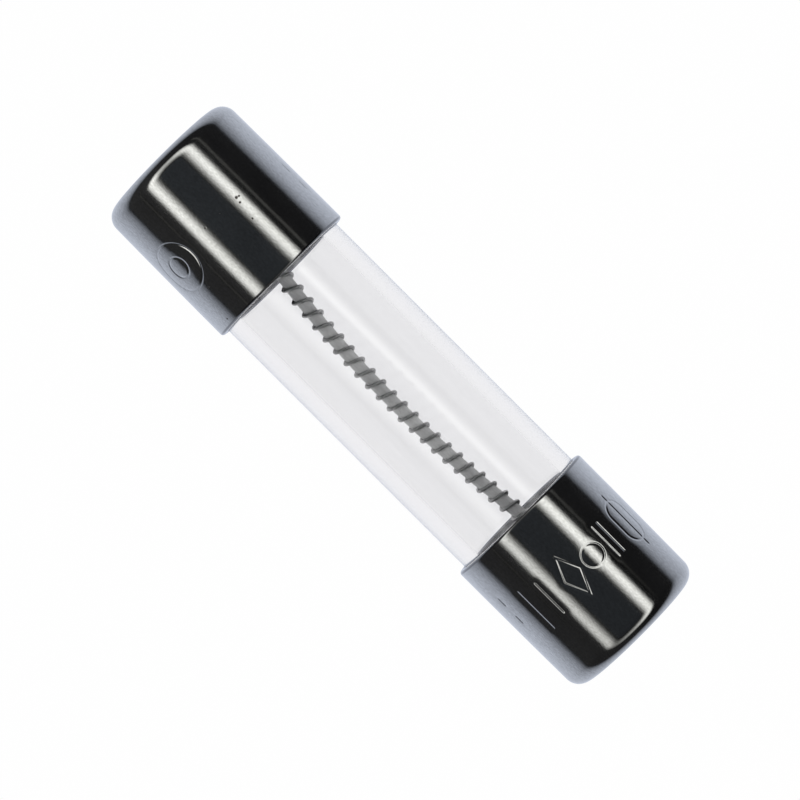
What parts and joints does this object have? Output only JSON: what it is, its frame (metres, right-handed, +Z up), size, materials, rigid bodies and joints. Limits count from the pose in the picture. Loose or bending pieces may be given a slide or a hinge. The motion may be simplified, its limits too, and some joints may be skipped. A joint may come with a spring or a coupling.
{
  "type": "cartridge fuse",
  "caption": "Miniature glass cartridge fuse with metal end caps and a wire-wound slow-blow element, held by its caps in spring clips.",
  "frame": {"origin": "centre of the fuse, on its axis, midway between the flat ends of the two caps", "axes": "+X along the fuse towards the cap with the row of plain stamped figures; +Z up, out of the open side of its clips; +Y completes the right-handed frame"},
  "size_m": [0.0204, 0.005, 0.0051],
  "materials": {
    "clear_glass": "polished, clear",
    "nickel_plate": "bright nickel plate on drawn brass",
    "fibre_core": "twisted glass fibre cord, dull",
    "fuse_wire": "fine drawn wire, tarnished",
    "solder": "bright solder, smooth",
    "cement": "thin grey cement, matt and grainy"
  },
  "bodies": {
    "root": {"glass_tube": "clear_glass", "end_cap_left": "nickel_plate", "end_cap_right": "nickel_plate", "element_core": "fibre_core", "fuse_wire": "fuse_wire", "solder_left": "solder", "solder_right": "solder", "cement_ring_left": "cement", "cement_ring_right": "cement"}
  },
  "joints": []
}
